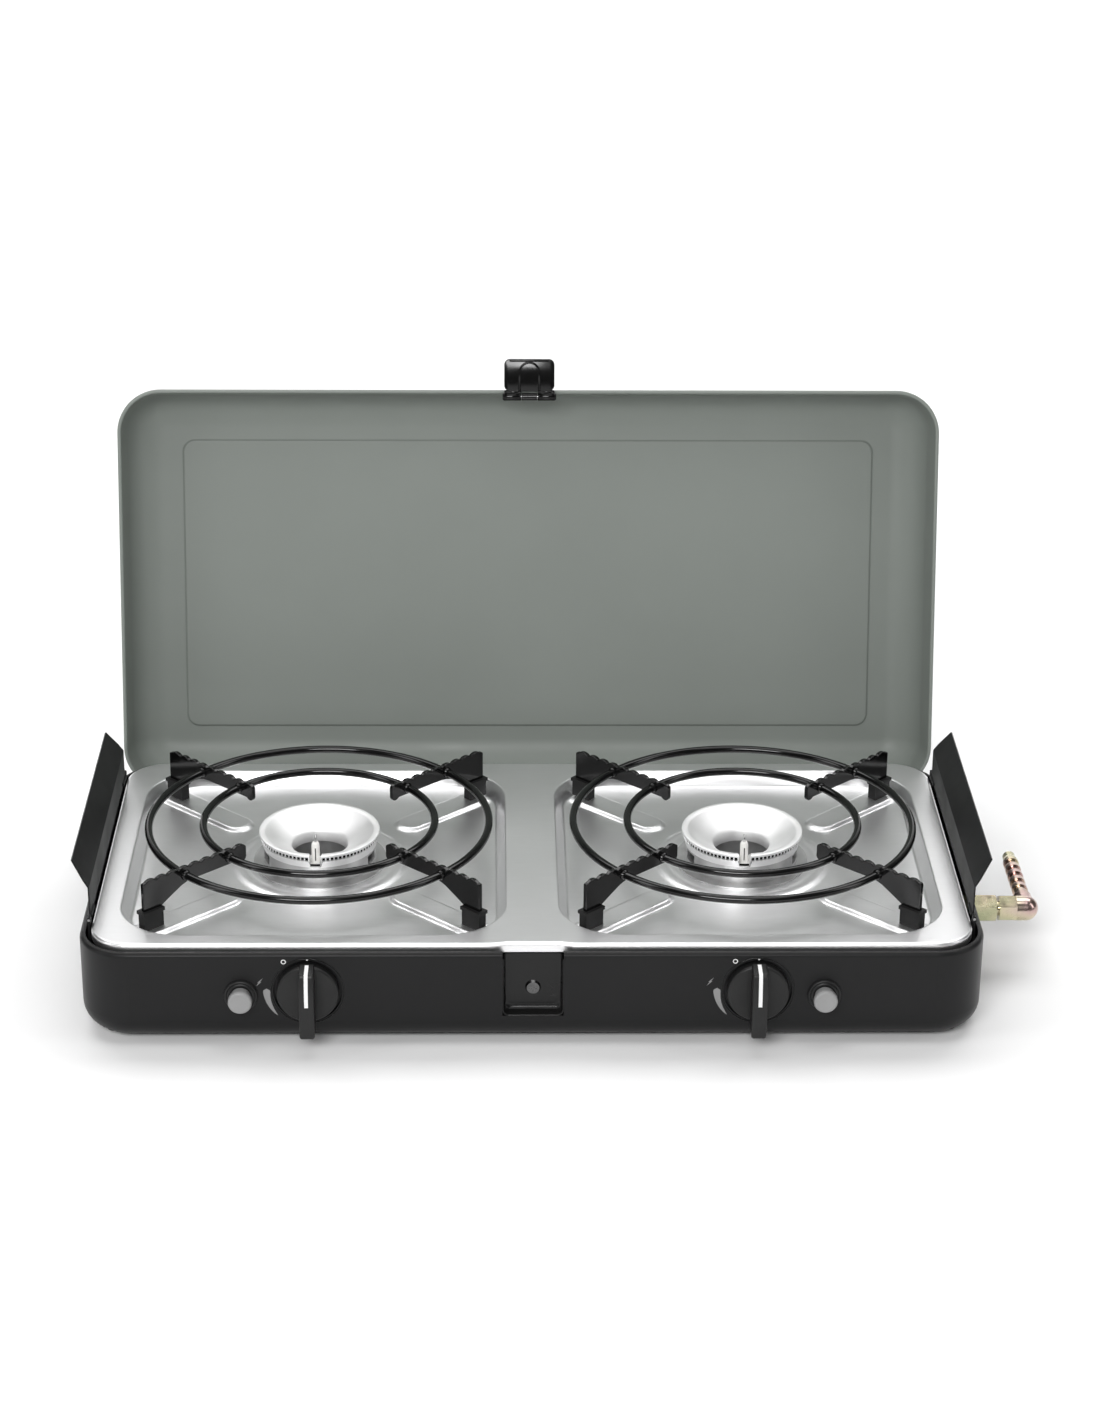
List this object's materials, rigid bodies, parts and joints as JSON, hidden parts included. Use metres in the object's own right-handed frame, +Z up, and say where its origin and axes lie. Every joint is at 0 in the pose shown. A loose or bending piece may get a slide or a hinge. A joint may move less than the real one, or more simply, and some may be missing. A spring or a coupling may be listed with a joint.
{
  "type": "camping stove",
  "caption": "Two-burner camping gas stove with hinged lid, folding side wind shields, round wire pan supports, front knobs, igniter buttons and a hose elbow.",
  "frame": {"origin": "centre of the bounding box at table level, with the lid open", "axes": "+X to the right seen from the front, +Y towards the back, +Z up; the control panel faces -Y"},
  "size_m": [0.6558, 0.4234, 0.3576],
  "materials": {
    "black_enamelled_shell": "satin black enamel on drawn steel",
    "brushed_stainless": "brushed stainless sheet",
    "sage_paint": "satin grey-green paint",
    "gloss_enamel": "gloss black vitreous enamel",
    "satin_black_paint": "satin black paint",
    "cast_aluminium": "bright satin die-cast aluminium",
    "grey_steel": "zinc plated steel",
    "yellow_zinc": "yellow chromated zinc on steel",
    "brass": "turned brass",
    "black_plastic": "fine grained black plastic",
    "gloss_black_plastic": "gloss black plastic",
    "grey_plastic": "mid grey plastic",
    "white_mark": "white inlay",
    "black_rubber": "black rubber",
    "white_ceramic": "glazed white ceramic"
  },
  "bodies": {
    "base": {"base_shell": "black_enamelled_shell", "hob_plate": "brushed_stainless", "hob_wall_left": "brushed_stainless", "hob_wall_right": "brushed_stainless", "hob_floor_left": "brushed_stainless", "hob_floor_right": "brushed_stainless", "feet": "black_rubber", "foot_screws": "grey_steel", "burner_head_left": "cast_aluminium", "burner_head_right": "cast_aluminium", "burner_body_left": "cast_aluminium", "burner_body_right": "cast_aluminium", "burner_screws": "grey_steel", "venturi_tubes": "cast_aluminium", "injectors": "brass", "valve_bodies": "brass", "gas_pipe": "grey_steel", "inlet_block": "brass", "inlet_stub": "yellow_zinc", "inlet_nut": "yellow_zinc", "hose_elbow": "yellow_zinc", "piezo_bodies": "black_plastic", "piezo_bezels": "black_plastic", "piezo_nuts": "black_plastic", "electrode_ceramics": "white_ceramic", "electrode_tips": "grey_steel", "ignition_leads": "black_rubber", "catch_screw": "grey_steel", "catch_washer": "grey_steel", "hinge_brackets": "satin_black_paint", "hinge_pins": "grey_steel", "shield_brackets": "satin_black_paint", "shield_pins": "grey_steel"},
    "lid": {"lid": "sage_paint", "latch_lug": "gloss_black_plastic", "latch_pin": "grey_steel", "hinge_arms": "grey_steel", "hinge_rivets": "grey_steel"},
    "latch": {"latch": "gloss_black_plastic"},
    "shield_left": {"windshield_left": "satin_black_paint"},
    "shield_right": {"windshield_right": "satin_black_paint"},
    "support_left": {"support_rings_left": "gloss_enamel", "support_arms_left": "gloss_enamel", "support_boots_left": "black_rubber"},
    "support_right": {"support_rings_right": "gloss_enamel", "support_arms_right": "gloss_enamel", "support_boots_right": "black_rubber"},
    "knob_left": {"knob_left": "black_plastic", "pointer_left": "white_mark", "valve_stem_left": "grey_steel"},
    "knob_right": {"knob_right": "black_plastic", "pointer_right": "white_mark", "valve_stem_right": "grey_steel"},
    "button_left": {"piezo_button_left": "grey_plastic"},
    "button_right": {"piezo_button_right": "grey_plastic"}
  },
  "joints": [
    {"name": "lid_hinge", "type": "hinge", "parent": "base", "child": "lid", "pos_m": [-0.02259, 0.0948, 0.0592], "axis": [-1, 0, 0], "range_deg": [-104, 0]},
    {"name": "latch_hinge", "type": "hinge", "parent": "lid", "child": "latch", "pos_m": [-0.02259, 0.1714, 0.33048], "axis": [-1, 0, 0], "range_deg": [-90, 0]},
    {"name": "shield_left_fold", "type": "hinge", "parent": "base", "child": "shield_left", "pos_m": [-0.31639, -0.04545, 0.0765], "axis": [0, -1, 0], "range_deg": [-60, 0]},
    {"name": "shield_right_fold", "type": "hinge", "parent": "base", "child": "shield_right", "pos_m": [0.27121, -0.04545, 0.0765], "axis": [0, 1, 0], "range_deg": [-60, 0]},
    {"name": "knob_left_turn", "type": "hinge", "parent": "base", "child": "knob_left", "pos_m": [-0.17059, -0.19045, 0.0426], "axis": [0, -1, 0], "range_deg": [0, 135]},
    {"name": "knob_right_turn", "type": "hinge", "parent": "base", "child": "knob_right", "pos_m": [0.12541, -0.19045, 0.0426], "axis": [0, -1, 0], "range_deg": [0, 135]},
    {"name": "button_left_press", "type": "slide", "parent": "base", "child": "button_left", "axis": [0, 1, 0], "range_m": [0, 0.0045], "stiffness_N_per_m": 600, "springref_m": -0.006},
    {"name": "button_right_press", "type": "slide", "parent": "base", "child": "button_right", "axis": [0, 1, 0], "range_m": [0, 0.0045], "stiffness_N_per_m": 600, "springref_m": -0.006},
    {"name": "support_left_lift", "type": "slide", "parent": "base", "child": "support_left", "axis": [0, 0, 1], "range_m": [0, 0.06]},
    {"name": "support_right_lift", "type": "slide", "parent": "base", "child": "support_right", "axis": [0, 0, 1], "range_m": [0, 0.06]}
  ],
  "couplings": [
    {"joint": "shield_left_fold", "follows": "lid_hinge", "ratio": 0.5769},
    {"joint": "shield_right_fold", "follows": "lid_hinge", "ratio": 0.5769}
  ]
}
